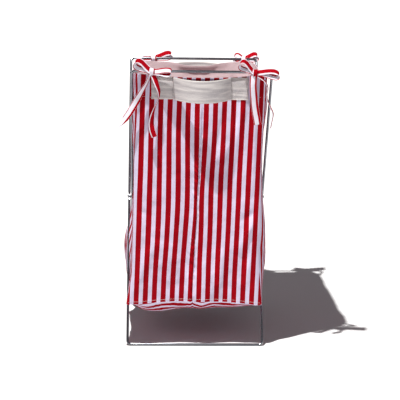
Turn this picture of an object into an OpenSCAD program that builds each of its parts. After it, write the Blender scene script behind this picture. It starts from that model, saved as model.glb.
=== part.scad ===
// Folding cross-leg bag stand: two closed wire loops riveted where they cross,
// with a striped cloth bag tied between the two top rods.
// Millimetres. +X right, +Y towards the back, +Z up, floor at Z = 0.
// The stand is drawn open, resting on its two bottom rods.

/* [Frame] */
// Centre-to-centre width of each wire loop
loop_w = 310; // [260:1:400]
// Distance between the two top rods, centre to centre, stand open
rod_depth = 350; // [240:5:420]
// Height of the upper side of the top rods above the floor
stand_h = 633; // [480:1:800]
// Wire diameter
wire_d = 6; // [4:0.5:8]
// Centre-line radius of the corner bends
bend_r = 9; // [7:0.5:25]
// Clear gap between the two wires where they cross
cross_gap = 1; // [0.8:0.1:3]

/* [Pivot] */
// Rivet shank diameter
rivet_d = 4; // [3:0.5:5]
// Radial clearance of the shank in the two eyes
rivet_clear = 0.05; // [0.02:0.01:0.1]
// Outer diameter of the flattened eye in each leg
eye_d = 11; // [9:0.5:14]
// Thickness of the flattened eye
eye_t = 3.6; // [3:0.1:4.5]
// Diameter of the domed rivet head
head_d = 8.5; // [7:0.5:9]
// Diameter of the spacer and the retaining washer
washer_d = 9; // [7:0.5:9.5]
// Length over which a leg thins down to its eye
eye_taper = 6; // [4:0.5:10]
// Height of the domed rivet head
head_h = 2.4; // [1.5:0.1:3]
// Height of the closed end of a rivet
tail_h = 1.4; // [1:0.1:2]
// Thickness of the retaining washer
washer_t = 1; // [0.6:0.1:1.5]
// Running gap on each side of an eye
face_gap = 0.3; // [0.2:0.05:0.5]

/* [Bag] */
// Width of the bag over its side panels
bag_w = 289; // [240:1:300]
// Depth of the bag over its front and back panels
bag_d = 344; // [230:1:360]
// Height of the hem edge above the floor
bag_top = 619; // [450:1:780]
// Height of the seam round the bottom above the floor
bag_low = 94; // [60:1:200]
// How far the bottom panel sags below its seam
bottom_sag = 40; // [5:1:60]
// How far in from the seam the flat middle of the bottom starts
sag_inset = 45; // [15:1:80]
// Thickness of the lined cloth
cloth_t = 1.6; // [1:0.1:3]
// Depth of the turned-in hem
hem_h = 49; // [25:1:60]
// Thickness of the turned-in hem
hem_t = 1; // [0.8:0.1:2]
// Gap between panels that move against each other
panel_gap = 0.3; // [0.3:0.1:1]

/* [Handles] */
// Webbing width
web_w = 49; // [30:1:60]
// Webbing thickness
web_t = 1.6; // [1:0.1:3]
// Left end of the free part of the webbing
grip_x0 = -60; // [-90:1:-40]
// Right end of the free part of the webbing
grip_x1 = 68; // [40:1:90]
// Outer end of the left sewn tab
tab_x0 = -108; // [-130:1:-90]
// Outer end of the right sewn tab
tab_x1 = 107; // [90:1:130]
// How far the free part stands off the panel
grip_out = 38; // [20:1:40]
// Height of the webbing's upper edge
web_top = 617; // [400:1:700]

/* [Ties] */
// Width of the tie tape
tape_w = 14; // [10:1:20]
// Thickness of the tie tape
tape_t = 1.6; // [1:0.1:3]
// Diameter of the tape wrapped round a rod
wrap_d = 14; // [12:1:18]
// Length of the wrap along the rod
wrap_l = 14; // [10:1:20]
// Diameter of a bow's knot
knot_d = 15; // [12:1:18]
// Distance from a rod's centre to the middle of the knot in front of it
knot_out = 12; // [11.7:0.1:13]
// Depth of a bow's knot from front to back
bow_t = 15; // [14.5:0.5:16]
// Diameter of a bow loop's rounded end
loop_d = 13; // [10:1:14]
// Height of a bow loop where it leaves the knot
neck_d = 9; // [6:0.5:9.5]
// Front left bow: its place along the rod
front_left_x = -108; // [-125:1:-95]
// Front right bow: its place along the rod
front_right_x = 119; // [100:1:130]
// Back left bow: its place along the rod
back_left_x = -103; // [-125:1:-90]
// Back right bow: its place along the rod
back_right_x = 120; // [100:1:130]
// Distance from a rod's centre down to the top of the hanging tails
tail_drop = 18; // [16:1:25]
// Furthest reach of the ties from the middle, both sides
tie_reach = 178; // [165:1:200]

/* [Hidden] */
rod_rise = stand_h - wire_d;
leg_l = sqrt(rod_depth * rod_depth + rod_rise * rod_rise);
lean = atan2(rod_depth, rod_rise);
pivot_z = stand_h / 2;
rod_z = stand_h - wire_d / 2;
leg_off = (wire_d + cross_gap) / 2;
leg_s = leg_l / 2 - bend_r;
front_y = -bag_d / 2;
low_z = bag_low - panel_gap;
grip_mid = (grip_x0 + grip_x1) / 2;
grip_half = (grip_x1 - grip_x0) / 2;
grip_r = (grip_half * grip_half + grip_out * grip_out) / (2 * grip_out);
bow_y = rod_depth / 2 + knot_out;
tail_y = rod_depth / 2 + 2;
tail_z = rod_z - tail_drop;
eye_edge = 4;
spacer_t = cross_gap + wire_d - eye_t - 2 * face_gap;
seat_z = leg_off + eye_t / 2 + face_gap;
$fn = 64;

// ---------------------------------------------------------------- frame

// Loop A runs from the front top rod to the back bottom rod, and sits a
// little to the right. Loop B is the same loop turned round, a little left.
module loop_a() {
    translate([leg_off, 0, pivot_z])
        rotate([lean, 0, 0])
            children();
}

module loop_b() {
    translate([-leg_off, 0, pivot_z])
        rotate([-lean, 0, 0])
            children();
}

// Upper rail of a loop, drawn in the loop's own plane: rod and both bends.
module rail() {
    s = loop_w / 2 - bend_r;
    translate([-s, 0, leg_l / 2])
        rotate([0, 90, 0])
            cylinder(d = wire_d, h = 2 * s);
    translate([s, 0, leg_s])
        rotate([90, 0, 0])
            rotate_extrude(angle = 90)
                translate([bend_r, 0])
                    circle(d = wire_d);
    translate([-s, 0, leg_s])
        rotate([90, 0, 0])
            rotate_extrude(angle = 90, start = 90)
                translate([bend_r, 0])
                    circle(d = wire_d);
}

// Straight leg with the flattened, drilled eye at its middle.
module leg(side) {
    translate([side * loop_w / 2, 0, 0])
        difference() {
            union() {
                for (m = [0, 1])
                    mirror([0, 0, m]) {
                        translate([0, 0, eye_edge + eye_taper])
                            cylinder(d = wire_d, h = leg_s - eye_edge - eye_taper);
                        translate([0, 0, eye_edge])
                            cylinder(d1 = eye_t - 0.4, d2 = wire_d, h = eye_taper);
                    }
                rotate([0, 90, 0])
                    cylinder(d = eye_d, h = eye_t, center = true);
            }
            rotate([0, 90, 0])
                cylinder(r = rivet_d / 2 + rivet_clear, h = 2 * wire_d, center = true);
        }
}

module front_top_rail() {
    color([0.80, 0.81, 0.83]) loop_a() rail();
}

module back_bottom_rail() {
    color([0.80, 0.81, 0.83]) loop_a() mirror([0, 0, 1]) rail();
}

module front_loop_left_leg() {
    color([0.80, 0.81, 0.83]) loop_a() leg(-1);
}

module front_loop_right_leg() {
    color([0.80, 0.81, 0.83]) loop_a() leg(1);
}

module back_top_rail() {
    color([0.80, 0.81, 0.83]) loop_b() rail();
}

module front_bottom_rail() {
    color([0.80, 0.81, 0.83]) loop_b() mirror([0, 0, 1]) rail();
}

module back_loop_left_leg() {
    color([0.80, 0.81, 0.83]) loop_b() leg(-1);
}

module back_loop_right_leg() {
    color([0.80, 0.81, 0.83]) loop_b() leg(1);
}

// ---------------------------------------------------------------- pivots

// Everything on a pivot is drawn along +Z from the middle of the gap
// between the two legs, outwards, then laid on its side.
module at_pivot(side) {
    translate([side * loop_w / 2, 0, pivot_z])
        rotate([0, side * 90, 0])
            children();
}

// A domed head outside, the shank through both eyes, a closed end inside.
module rivet(side) {
    shank_l = 2 * seat_z + washer_t + head_h / 2;
    cap_r = (head_d * head_d / 4 + head_h * head_h) / (2 * head_h);
    color([0.72, 0.73, 0.75])
        at_pivot(side) {
            translate([0, 0, -seat_z - washer_t])
                cylinder(d = rivet_d, h = shank_l);
            translate([0, 0, seat_z])
                intersection() {
                    translate([0, 0, head_h - cap_r])
                        sphere(r = cap_r);
                    cylinder(d = head_d, h = head_h + 1);
                }
            translate([0, 0, -seat_z - washer_t - tail_h])
                cylinder(d1 = rivet_d + 0.4, d2 = 1.6 * rivet_d, h = tail_h);
        }
}

module washer(side, z0, t) {
    color([0.78, 0.79, 0.80])
        at_pivot(side)
            translate([0, 0, z0])
                difference() {
                    cylinder(d = washer_d, h = t);
                    translate([0, 0, -1])
                        cylinder(r = rivet_d / 2 + rivet_clear, h = t + 2);
                }
}

module left_rivet() {
    rivet(-1);
}

module right_rivet() {
    rivet(1);
}

module left_spacer() {
    washer(-1, -spacer_t / 2, spacer_t);
}

module right_spacer() {
    washer(1, -spacer_t / 2, spacer_t);
}

module left_washer() {
    washer(-1, -seat_z - washer_t, washer_t);
}

module right_washer() {
    washer(1, -seat_z - washer_t, washer_t);
}

// ---------------------------------------------------------------- bag

module side_panel(side) {
    x0 = side > 0 ? bag_w / 2 - cloth_t : -bag_w / 2;
    color([0.80, 0.10, 0.14])
        translate([x0, front_y, bag_low])
            cube([cloth_t, bag_d, bag_top - bag_low]);
}

module side_hem(side) {
    w = bag_w / 2 - cloth_t;
    x0 = side > 0 ? w - hem_t : -w;
    l = bag_d - 2 * (cloth_t + hem_t + 2 * panel_gap);
    color([0.88, 0.82, 0.80])
        translate([x0, -l / 2, bag_top - hem_h])
            cube([hem_t, l, hem_h]);
}

module left_side_panel() {
    side_panel(-1);
}

module right_side_panel() {
    side_panel(1);
}

module left_side_hem() {
    side_hem(-1);
}

module right_side_hem() {
    side_hem(1);
}

// Shallow tray: the seam round its rim, the sagging middle below.
module tray() {
    rim_t = 0.6;
    hull() {
        translate([-bag_w / 2, front_y, low_z - rim_t])
            cube([bag_w, bag_d, rim_t]);
        translate([-bag_w / 2 + sag_inset, front_y + sag_inset, low_z - bottom_sag])
            cube([bag_w - 2 * sag_inset, bag_d - 2 * sag_inset, rim_t]);
    }
}

module bottom_panel() {
    color([0.84, 0.14, 0.18])
        difference() {
            tray();
            translate([0, 0, cloth_t])
                tray();
        }
}

// One cloth face of the bag, drawn for the front. The back is its mirror.
module face_panel() {
    w = bag_w - 2 * (cloth_t + panel_gap);
    color([0.80, 0.10, 0.14])
        translate([-w / 2, front_y, bag_low])
            cube([w, cloth_t, bag_top - bag_low]);
}

module face_hem() {
    w = bag_w - 2 * (cloth_t + hem_t + 2 * panel_gap);
    color([0.88, 0.82, 0.80])
        translate([-w / 2, front_y + cloth_t, bag_top - hem_h])
            cube([w, hem_t, hem_h]);
}

// Free part of the webbing handle, an arch that stands off the panel.
module face_grip() {
    color([0.72, 0.69, 0.68])
        translate([grip_mid, front_y, web_top - web_w])
            linear_extrude(height = web_w)
                intersection() {
                    translate([0, grip_r - grip_out])
                        difference() {
                            circle(r = grip_r, $fn = 180);
                            circle(r = grip_r - web_t, $fn = 180);
                        }
                    translate([-grip_half, -grip_out - 1])
                        square([2 * grip_half, grip_out + 1]);
                }
}

module face_tab(x0, x1) {
    color([0.66, 0.63, 0.62])
        translate([x0, front_y - web_t, web_top - web_w])
            cube([x1 - x0, web_t, web_w]);
}

module front_panel() {
    face_panel();
}

module back_panel() {
    mirror([0, 1, 0]) face_panel();
}

module front_hem() {
    face_hem();
}

module back_hem() {
    mirror([0, 1, 0]) face_hem();
}

module front_handle() {
    face_grip();
}

module back_handle() {
    mirror([0, 1, 0]) face_grip();
}

module front_handle_left_tab() {
    face_tab(tab_x0, grip_x0 - 0.4);
}

module front_handle_right_tab() {
    face_tab(grip_x1 + 0.4, tab_x1);
}

module back_handle_left_tab() {
    mirror([0, 1, 0]) face_tab(tab_x0, grip_x0 - 0.4);
}

module back_handle_right_tab() {
    mirror([0, 1, 0]) face_tab(grip_x1 + 0.4, tab_x1);
}

// ---------------------------------------------------------------- ties

// A bow on a top rod, drawn for the front: a wrap round the rod, and the
// knot and two flat loops in front of it. Each loop is [length, angle from up].
module bow(x, loop_1, loop_2) {
    color([0.86, 0.72, 0.74])
        difference() {
            union() {
                translate([x - wrap_l / 2, -rod_depth / 2, rod_z])
                    rotate([0, 90, 0])
                        cylinder(d = wrap_d, h = wrap_l);
                translate([x, -bow_y, rod_z]) {
                    rotate([90, 0, 0])
                        cylinder(d = knot_d, h = bow_t, center = true);
                    rotate([0, loop_1[1], 0])
                        flat_loop(loop_1[0], tape_w - 1);
                    rotate([0, loop_2[1], 0])
                        flat_loop(loop_2[0], tape_w - 2);
                }
            }
            translate([x - wrap_l, -rod_depth / 2, rod_z])
                rotate([0, 90, 0])
                    cylinder(d = wire_d, h = 2 * wrap_l);
        }
}

// A flattened loop of tape standing up from the knot, with a round end.
// Its neck is a little less deep than its end, t.
module flat_loop(l, t) {
    neck_t = t - 0.6;
    end_z = l - loop_d / 2;
    translate([-neck_d / 2, -neck_t / 2, 0])
        cube([neck_d, neck_t, end_z]);
    translate([0, 0, end_z])
        rotate([90, 0, 0])
            cylinder(d = loop_d, h = t, center = true);
}

// A hanging tie tail: a flat tape through points of [sideways, down],
// counted from the top of the tails under the bow at x.
module tail(x, p) {
    half = tape_w / 2;
    down = [for (q = p) [x + q[0] - half, tail_z - q[1]]];
    up = [for (i = [len(p) - 1 : -1 : 0]) [x + p[i][0] + half, tail_z - p[i][1]]];
    color([0.90, 0.80, 0.82])
        translate([0, -tail_y, 0])
            rotate([90, 0, 0])
                linear_extrude(height = tape_t)
                    polygon(concat(down, up));
}

module front_left_bow() {
    bow(front_left_x, [50, -52], [45, 81]);
}

// The drooping right loop ends exactly at the furthest reach of the ties.
module front_right_bow() {
    droop = 8;
    reach = tie_reach - front_right_x - loop_d / 2;
    long = sqrt(reach * reach + droop * droop) + loop_d / 2;
    bow(front_right_x, [42, -58], [long, 90 + atan2(droop, reach)]);
}

module back_left_bow() {
    mirror([0, 1, 0]) bow(back_left_x, [34, -78], [46, 80]);
}

module back_right_bow() {
    mirror([0, 1, 0]) bow(back_right_x, [30, -86], [40, 70]);
}

// The first tail swings out to the furthest reach of the ties.
module front_left_tails() {
    reach = -tie_reach + tape_w / 2 - front_left_x;
    tail(front_left_x, [[-4, 0], [reach, 106]]);
    tail(front_left_x, [[12, 0], [12, 52], [4, 126]]);
}

// The second tail hangs turned edge-on beside the first.
module front_right_tails() {
    tail(front_right_x, [[-1, 0], [8, 98]]);
    color([0.90, 0.80, 0.82])
        translate([front_right_x + 32, -tail_y - tape_w, tail_z - 105])
            cube([tape_t, tape_w, 90]);
}

module back_left_tails() {
    mirror([0, 1, 0]) {
        tail(back_left_x, [[0, 0], [12, 94]]);
        tail(back_left_x, [[-15, 0], [-31, 70]]);
    }
}

module back_right_tails() {
    mirror([0, 1, 0]) {
        tail(back_right_x, [[0, 0], [-3, 100]]);
        tail(back_right_x, [[16, 0], [28, 66]]);
    }
}

// ---------------------------------------------------------------- nodes

// One sub-part's name, or "all"

back_top_rail();
front_bottom_rail();
back_loop_left_leg();
back_loop_right_leg();
back_left_bow();
back_right_bow();
front_top_rail();
back_bottom_rail();
front_loop_left_leg();
front_loop_right_leg();
front_left_bow();
front_right_bow();
left_rivet();
right_rivet();
left_spacer();
right_spacer();
left_washer();
right_washer();
left_side_panel();
right_side_panel();
left_side_hem();
right_side_hem();
bottom_panel();
front_panel();
front_hem();
front_handle();
front_handle_left_tab();
front_handle_right_tab();
front_left_tails();
front_right_tails();
back_panel();
back_hem();
back_handle();
back_handle_left_tab();
back_handle_right_tab();
back_left_tails();
back_right_tails();
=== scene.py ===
"""A folding cross-leg bag stand, seen from the front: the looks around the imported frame.

Shapes are worked out in millimetres and turned into metres when a mesh is made.
+X is right, +Y is the back, +Z is up, and the floor is at Z = 0.
"""

import math

import bpy
import numpy as np
from mathutils import Matrix, Vector, noise


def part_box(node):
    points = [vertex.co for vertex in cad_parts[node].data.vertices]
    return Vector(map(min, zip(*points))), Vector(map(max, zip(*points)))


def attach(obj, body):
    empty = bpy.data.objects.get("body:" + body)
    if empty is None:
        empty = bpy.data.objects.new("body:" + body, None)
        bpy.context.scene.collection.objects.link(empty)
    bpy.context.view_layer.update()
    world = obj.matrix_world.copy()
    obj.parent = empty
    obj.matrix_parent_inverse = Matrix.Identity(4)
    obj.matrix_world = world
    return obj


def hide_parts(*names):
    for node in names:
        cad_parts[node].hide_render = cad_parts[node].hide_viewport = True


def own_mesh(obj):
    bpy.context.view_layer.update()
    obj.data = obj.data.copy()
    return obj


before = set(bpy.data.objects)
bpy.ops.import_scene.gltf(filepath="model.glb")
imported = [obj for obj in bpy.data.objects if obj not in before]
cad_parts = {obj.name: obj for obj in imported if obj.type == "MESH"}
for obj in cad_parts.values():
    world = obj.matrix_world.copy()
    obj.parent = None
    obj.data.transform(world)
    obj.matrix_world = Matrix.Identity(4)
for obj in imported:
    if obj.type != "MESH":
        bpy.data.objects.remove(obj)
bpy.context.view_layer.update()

M_PER_MM = 0.001


def box_mm(node):
    """Lowest and highest corner of a CAD node, in millimetres."""
    return [np.array(corner) / M_PER_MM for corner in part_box(node)]


# ---------------- sizes from the frame

front_low, front_high = box_mm("front_panel")
rod_low, rod_high = box_mm("front_top_rail")
hem_low, hem_high = box_mm("front_hem")
WIRE = 6.0
ROD_Y = -rod_low[1] - WIRE / 2          # how far each top rod is from the middle
ROD_Z = rod_high[2] - WIRE / 2
PIVOT_Z = rod_high[2] / 2
LEG_SLOPE = ROD_Y / (ROD_Z - PIVOT_Z)   # how far a leg moves in y for each millimetre of height
LEG_REACH = (155.5, 148.5)              # inner faces of a side's outer and inner leg
PANEL_Y = -front_low[1]                 # the front and back panels' distance from the middle
RIM_Z = front_high[2]
SEAM_Z = front_low[2]
HEM_H = hem_high[2] - hem_low[2]

# ---------------- cloth sizes

STRIPE_PITCH = 20.3
CLOTH_T = 1.4
HEM_T = 0.9
TAPE_W = 14.0
TAPE_T = 1.5
WEB_W = 49.0
WEB_T = 1.6
STITCH_STEP = 3.3
STITCH_L = 2.3
STITCH_R = 0.32


# ---------------- curves and noise

def rounded(knots, width=14.0):
    """A function through given (height, value) points, with its corners rounded."""
    step = 2.0
    heights = np.arange(0, 720, step)
    points = np.array(sorted(knots), float)
    values = np.interp(heights, points[:, 0], points[:, 1])
    reach = int(3 * width / step)
    weights = np.exp(-0.5 * (np.arange(-reach, reach + 1) * step / width) ** 2)
    values = np.convolve(np.pad(values, reach, "edge"), weights / weights.sum(), "valid")
    return lambda z: np.interp(z, heights, values)


def run_length(points):
    """The distance run along a line, at each of its points."""
    return np.concatenate([[0], np.cumsum(np.linalg.norm(np.diff(points, axis=0), axis=1))])


def ease(t):
    """0 to 1 with level ends."""
    t = np.clip(t, 0, 1)
    return t * t * (3 - 2 * t)


def bell(x, centre, width):
    """1 at the centre, falling off smoothly over a width."""
    return np.exp(-((x - centre) / width) ** 2)


def soft_min(a, b, k=1.2):
    """The lower of two surfaces, with the crease between them rounded."""
    return -k * np.logaddexp(-a / k, -b / k)


def noise_field(a, b, size_a, size_b, seed):
    """Smooth noise from -1 to 1 over two cloth coordinates of the same shape."""
    flat = [noise.noise(Vector((x / size_a, y / size_b, seed)))
            for x, y in zip(np.ravel(a), np.ravel(b))]
    return np.array(flat).reshape(np.shape(a))


def ridge(a, b, start, end, width, height):
    """A tension fold from start to end that fades at both ends."""
    start, end = np.array(start, float), np.array(end, float)
    along = end - start
    length = np.hypot(*along)
    t = ((a - start[0]) * along[0] + (b - start[1]) * along[1]) / length ** 2
    off = ((a - start[0]) * along[1] - (b - start[1]) * along[0]) / length
    taper = np.sin(np.pi * np.clip(t, 0, 1)) ** 0.7
    return height * taper * bell(off, 0, width * (0.6 + 0.8 * np.clip(t, 0, 1)))


# ---------------- the bag's outline

# Half width of the bag at each height, at its quiet corners (front left, back right)
# and at its bulging corners (front right, back left).
quiet = rounded([(94, 163), (160, 151.5), (350, 148), (620, 148)])
bulging = rounded([(94, 149), (260, 158.5), (350, 146.5), (450, 144), (570, 153.5), (620, 151.5)],
                  22.0)
# How far the corner seam lies in from there, where side cloth wraps round to the front.
quiet_inset = rounded([(94, 0), (130, 2), (420, 2.5), (575, 11), (619, 9)])
bulging_inset = rounded([(94, 0), (230, 20.5), (340, 7.5), (450, 5), (570, 11.5), (619, 9.5)])
CORNER_DEPTH = 4.0
CORNER_REACH = 15.0


def swelling(z):
    """How far the cloth swells out between the lower arms of the crossed legs."""
    return 16.0 * np.maximum(0, 1 - ((z - 174) / 86) ** 2)


LEG_ROOM = 0.6      # the cloth's clearance inside a leg
PINCH = 145.0       # half width of the cloth at the rivets, where the washers press it in


def side_reach(y, z, share):
    """Half width of the left side's cloth at depth y and height z. The right side is this
    turned round, with its own share of the swelling."""
    t = ease((y + PANEL_Y) / (2 * PANEL_Y))
    body = quiet(z) + (bulging(z) - quiet(z)) * t
    body += share * swelling(z) * bell(y, 22, 78)
    inset = quiet_inset(z) * np.exp(-(y + PANEL_Y - CORNER_DEPTH) / CORNER_REACH)
    inset += bulging_inset(z) * np.exp(-(PANEL_Y - CORNER_DEPTH - y) / CORNER_REACH)
    rise = np.clip((z - PIVOT_Z) / (RIM_Z - PIVOT_Z), 0, 1)
    sag_in = 3.0 * np.sin(np.pi * rise) * (1 - (y / PANEL_Y) ** 2)
    wide = body - inset - sag_in
    away = z - PIVOT_Z
    for leg_y, inner in ((-away * LEG_SLOPE, LEG_REACH[1]), (away * LEG_SLOPE, LEG_REACH[0])):
        room = inner - LEG_ROOM + np.maximum(0, np.abs(y - leg_y) - 4) * 0.75
        wide = soft_min(wide, room)
    pinch = PINCH + np.maximum(0, np.hypot(y, away) - 12) * 0.5
    return soft_min(wide, pinch)


# ---------------- folds

def from_crease(x, z):
    """Distance to the right of the long crinkled crease down the middle of the front. The crease
    leans to the left towards the bottom, and wavers a little."""
    return x + 0.04 * (380 - z) + 0.8 * np.sin(z / 17) + 0.5 * np.sin(z / 6.3)


def gathered(x, z):
    """How far the stripes move to the right, because the crease takes up some of the cloth."""
    crease = from_crease(x, z)
    right = 1 / (1 + np.exp(-crease / 1.3))
    left_move = 6.0 * bell(z, 325, 130) * (0.4 + 0.6 * bell(crease, 0, 90))
    right_move = -2.6 * bell(z, 345, 70) * bell(crease, 0, 60)
    return left_move * (1 - right) + right_move * right


# Tension folds: start, end, width, height. A face's are in x and z, and a side's in y and z.
FACE_FOLDS = [((-95, 592), (-52, 400), 9, 3.4), ((-120, 575), (-104, 330), 8, 2.6),
              ((104, 590), (70, 410), 9, 3.2), ((124, 580), (122, 350), 8, 3.0),
              ((60, 560), (20, 380), 8, -2.2), ((-48, 560), (-30, 300), 9, -2.2),
              ((140, 330), (96, 210), 10, 3.6), ((135, 290), (110, 130), 8, 3.0),
              ((-150, 120), (-96, 250), 12, 3.2), ((-60, 240), (-20, 110), 13, 2.6),
              ((60, 250), (46, 110), 12, 3.0)]
WAIST_FOLDS = [((152, 324), (88, 288), 8, -1.5), ((152, 300), (92, 252), 10, 1.1),
               ((-152, 324), (-96, 296), 8, -1.3)]
SIDE_FOLDS = [((-150, 590), (-60, 400), 13, 3.4), ((150, 590), (70, 420), 13, 3.0),
              ((-20, 300), (-120, 150), 14, 3.8), ((10, 300), (60, 130), 15, 3.8),
              ((-40, 330), (-150, 300), 12, -2.6)]
FACE_GAIN = 1.45
SIDE_GAIN = 1.3


def pucker(z):
    """Where the stitching at the hem and at the bottom seam draws the cloth in."""
    return bell(z, RIM_Z - HEM_H, 9) + bell(z - SEAM_Z, 6, 9)


def face_folds(x, z):
    """How far the front cloth stands out of its plane. The back uses it turned round."""
    calm = ease((RIM_Z - 30 - z) / 70)          # the hem is stiffer than the cloth below it
    low = ease((330 - z) / 200)
    out = noise_field(x, z, 42, 300, 3.1) * 3.2 * (0.25 + 0.75 * calm)
    out += noise_field(x, z, 95, 170, 7.7) * 4.5 * calm
    for fold in FACE_FOLDS:
        out += ridge(x, z, *fold)
    out += 2.6 * low * np.sin(x / 21 + 0.7 * np.sin(z / 60)) * bell(z, 150, 90)
    crease = from_crease(x, z)
    out = out - 2.9 * calm * np.exp(-np.abs(crease) / 2.4)
    out += 1.6 * calm * bell(crease, -6, 4.5)
    crinkle = noise_field(x, z, 9, 15, 61.0) + 0.5 * noise_field(x, z, 6, 8, 67.0)
    busy = 1.1 + 1.3 * bell(z, 385, 75)
    out += busy * calm * crinkle * bell(crease, -4, 8)
    pleats = np.sin((z + 0.9 * x) / 2.1 + 1.3 * np.sin(z / 13)) * (0.55 + 0.45 * np.sin(z / 31 + 1.0))
    pleated = 0.45 + 0.9 * bell(z, 385, 85)
    out += pleated * calm * pleats * bell(crease, -5, 6)
    for fold in WAIST_FOLDS:
        out += ridge(x, z, *fold)
    out += 0.55 * pucker(z) * noise_field(x, z, 5.5, 30, 11.3)
    return FACE_GAIN * out + noise_field(x, z, 15, 22, 5.2) * 1.1 * (0.3 + 0.7 * calm)


def side_folds(y, z):
    """How far the left cloth stands out of its smooth shape. The right uses it turned round."""
    out = noise_field(y, z, 46, 240, 21.4) * 2.6
    for fold in SIDE_FOLDS:
        out += ridge(y, z, *fold)
    out += 0.5 * pucker(z) * noise_field(y, z, 5.5, 30, 31.3)
    return SIDE_GAIN * out + noise_field(y, z, 16, 22, 25.2) * 0.9


def fade_at_ends(t, width, reach=13.0):
    """0 at both ends of a panel and 1 inside, so that neighbours meet at their seam."""
    edge = np.minimum(t, 1 - t) * width
    return 1 - bell(edge, 0, reach)


# ---------------- the bag's wall, one closed ring

FACE_COLS = 140
SIDE_COLS = 104
ROWS = 196

RIM_ARCH = 8.5          # how far the rims hang between their ties
BACK_RIM_SAG = 9.0
SIDE_SAG = 11.0
SEAM_ARCH = 9.0
STRIPE_SHIFT = -5.0     # where the front's middle stripe lies
STRIPE_SLANT = 0.0263   # how far the stripes lean for each millimetre of height
RIGHT_SWELL = 0.62      # the right side's share of the swelling


def free_hem(across):
    """1 along the back hem between the ends of its handle, falling to 0 beyond them."""
    half_face, shift, half_free = 146, 8, 48
    return 1 / (1 + ((half_face * across + shift) / half_free) ** 4)


def face_points(turned):
    """The front wall from its left to its right seam, top row first. Turned gives the back."""
    t, v = np.meshgrid(np.linspace(0, 1, FACE_COLS + 1), np.linspace(0, 1, ROWS + 1))
    across = 2 * t - 1
    if turned:
        slack, roll, depth = free_hem(across), 11.0, 11.0
        top = RIM_Z + 3 + 2 * across ** 2 - BACK_RIM_SAG * slack
    else:
        slack, roll, depth = np.clip(1 - (across - 0.02) ** 2 * 1.15, 0, 1) ** 0.8, 5.0, 8.0
        top = RIM_Z - 3.5 + RIM_ARCH * across ** 2
    bottom = SEAM_Z + 1 + SEAM_ARCH * (1 - across ** 2)
    z = top + (bottom - top) * v
    left, right = quiet(z) - quiet_inset(z), bulging(z) - bulging_inset(z)
    x = -left + (left + right) * t
    edge = np.minimum(x + left, right - x)
    y = -PANEL_Y + CORNER_DEPTH * np.exp(-edge / 5.0)
    y -= face_folds(x, z) * fade_at_ends(t, left + right)
    y += roll * slack * bell(top - z, 0, depth)
    slant = STRIPE_SLANT * (RIM_Z - HEM_H - 3 - z)
    wander = 1.3 * noise_field(x, z, 60, 130, 71.0) - gathered(x, z)
    wander *= fade_at_ends(t, left + right, 30)
    cloth = np.stack([x + STRIPE_SHIFT + slant + wander, z, 0 * x], -1)
    points = np.stack([x, y, z], -1)
    if turned:
        points = points * (-1, -1, 1)
    return points, cloth


def side_points(turned):
    """The left wall from its back to its front seam. Turned gives the right wall, front to back."""
    deep = PANEL_Y - CORNER_DEPTH
    fine = np.linspace(-1, 1, 500)
    fine = fine * (1.5 - 0.5 * fine ** 2)
    y_fine = fine * deep
    swell = RIGHT_SWELL if turned else 1.0
    rows_p, rows_c = [], []
    for v in np.linspace(0, 1, ROWS + 1):
        def height(y):
            across = y / deep
            top = RIM_Z + 5 - SIDE_SAG * (1 - across ** 2)
            bottom = SEAM_Z + 1 + 5 * (1 - across ** 2)
            return top + (bottom - top) * v
        reach = side_reach(y_fine, height(y_fine), swell)
        length = np.concatenate([[0], np.cumsum(np.hypot(np.diff(reach), np.diff(y_fine)))])
        share = np.linspace(0, 1, SIDE_COLS + 1)
        y = np.interp(share * length[-1], length, y_fine)
        rows_p.append(np.stack([-side_reach(y, height(y), swell), y, height(y)], -1))
        rows_c.append(np.stack([share * 2 * PANEL_Y + 4, height(y), 0 * y], -1))
    points, cloth = np.array(rows_p), np.array(rows_c)
    share = np.broadcast_to(np.linspace(0, 1, SIDE_COLS + 1), points.shape[:2])
    points[..., 0] -= side_folds(points[..., 1], points[..., 2]) * fade_at_ends(share, 2 * deep)
    points, cloth = points[:, ::-1], cloth[:, ::-1]
    if turned:
        points = points * (-1, -1, 1)
    return points, cloth


def grid_normals(grid, closed):
    """Unit normals of a grid, which point out of a ring that runs front, right, back, left."""
    if closed:
        across = np.roll(grid, -1, 1) - np.roll(grid, 1, 1)
    else:
        across = np.gradient(grid, axis=1)
    down = np.gradient(grid, axis=0)
    n = np.cross(down, across)
    return n / np.maximum(np.linalg.norm(n, axis=-1, keepdims=True), 1e-9)


def make_walls():
    """{side: (points, normals, cloth coordinates)} of the walls, which share their seam columns."""
    parts = [face_points(False), side_points(True), face_points(True), side_points(False)]
    ring = np.concatenate([p[:, :-1] for p, _ in parts], 1)
    normals = grid_normals(ring, True)
    walls, start = {}, 0
    for name, (points, cloth) in zip(("front", "right", "back", "left"), parts):
        columns = np.arange(start, start + points.shape[1]) % ring.shape[1]
        walls[name] = (ring[:, columns], normals[:, columns], cloth)
        start += points.shape[1] - 1
    return walls


DEEP_SAG = 49.0


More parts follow.
